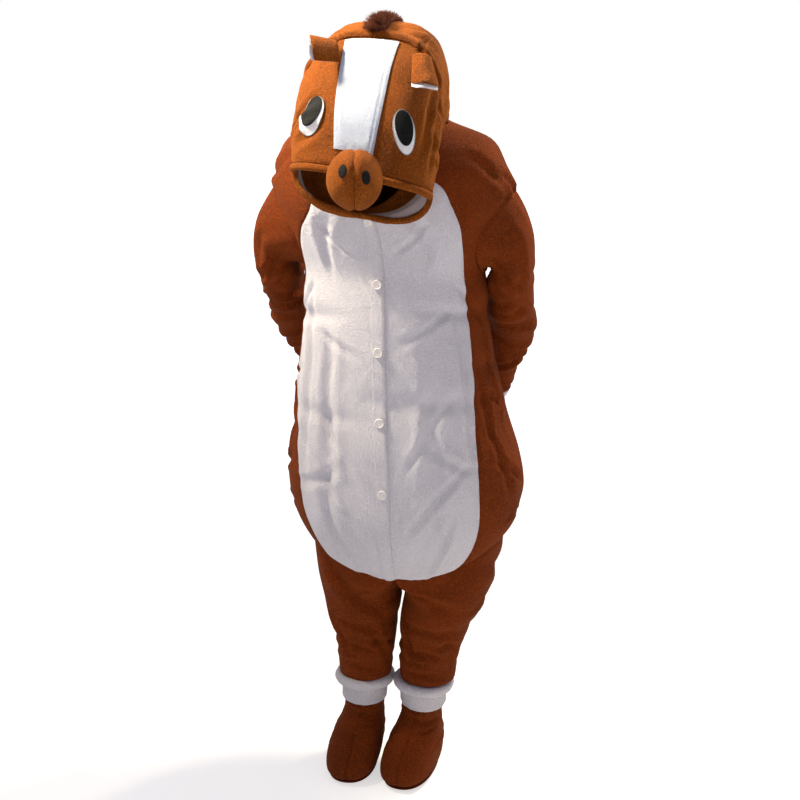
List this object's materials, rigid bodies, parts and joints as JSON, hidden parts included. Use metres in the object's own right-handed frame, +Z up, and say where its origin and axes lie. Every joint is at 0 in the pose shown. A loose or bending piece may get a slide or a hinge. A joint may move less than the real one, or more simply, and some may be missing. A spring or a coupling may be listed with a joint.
{
  "type": "horse onesie",
  "caption": "Hooded adult fleece suit in its worn, hollow pose, with a horse-head hood, button front, bent sleeves and foot covers.",
  "frame": {"origin": "middle of the shoulder line, inside the neck, where the wearer's shoulders hold the suit up", "axes": "+Z up along the standing suit, -Y to its front, +X to the wearer's left"},
  "size_m": [0.5902, 0.6049, 1.596],
  "materials": {
    "brown_fleece": "short-pile brown fleece, warm sheen",
    "white_fleece": "short-pile white fleece",
    "lining": "thin pinkish-grey lining",
    "mane_pile": "long dark brown pile",
    "white_felt": "smooth white felt",
    "black_felt": "smooth black felt",
    "button": "pale pearly plastic"
  },
  "bodies": {
    "root": {"belly_left": "white_fleece", "belly_right": "white_fleece", "placket": "white_fleece", "button_1": "button", "button_2": "button", "button_3": "button", "button_4": "button", "button_5": "button", "side_left": "brown_fleece", "side_right": "brown_fleece", "back_left": "brown_fleece", "back_right": "brown_fleece", "sleeve_left": "brown_fleece", "sleeve_right": "brown_fleece", "wrist_cuff_left": "white_fleece", "wrist_cuff_right": "white_fleece", "leg_left": "brown_fleece", "leg_right": "brown_fleece", "leg_roll_left": "white_fleece", "leg_roll_right": "white_fleece", "leg_band_left": "white_fleece", "leg_band_right": "white_fleece", "boot_left_outer": "brown_fleece", "boot_left_inner": "brown_fleece", "boot_right_outer": "brown_fleece", "boot_right_inner": "brown_fleece", "sole_left": "brown_fleece", "sole_right": "brown_fleece", "hood_back_left": "brown_fleece", "hood_back_right": "brown_fleece", "hood_face_left": "brown_fleece", "hood_face_right": "brown_fleece", "hood_lining": "lining", "opening_binding": "brown_fleece", "blaze": "white_fleece", "mane": "mane_pile", "snout_left": "brown_fleece", "snout_right": "brown_fleece", "nostril_left": "black_felt", "nostril_right": "black_felt", "eye_white_left": "white_felt", "eye_white_right": "white_felt", "pupil_left": "black_felt", "pupil_right": "black_felt", "ear_outer_left": "brown_fleece", "ear_outer_right": "brown_fleece", "ear_inner_left": "white_fleece", "ear_inner_right": "white_fleece"}
  },
  "joints": []
}
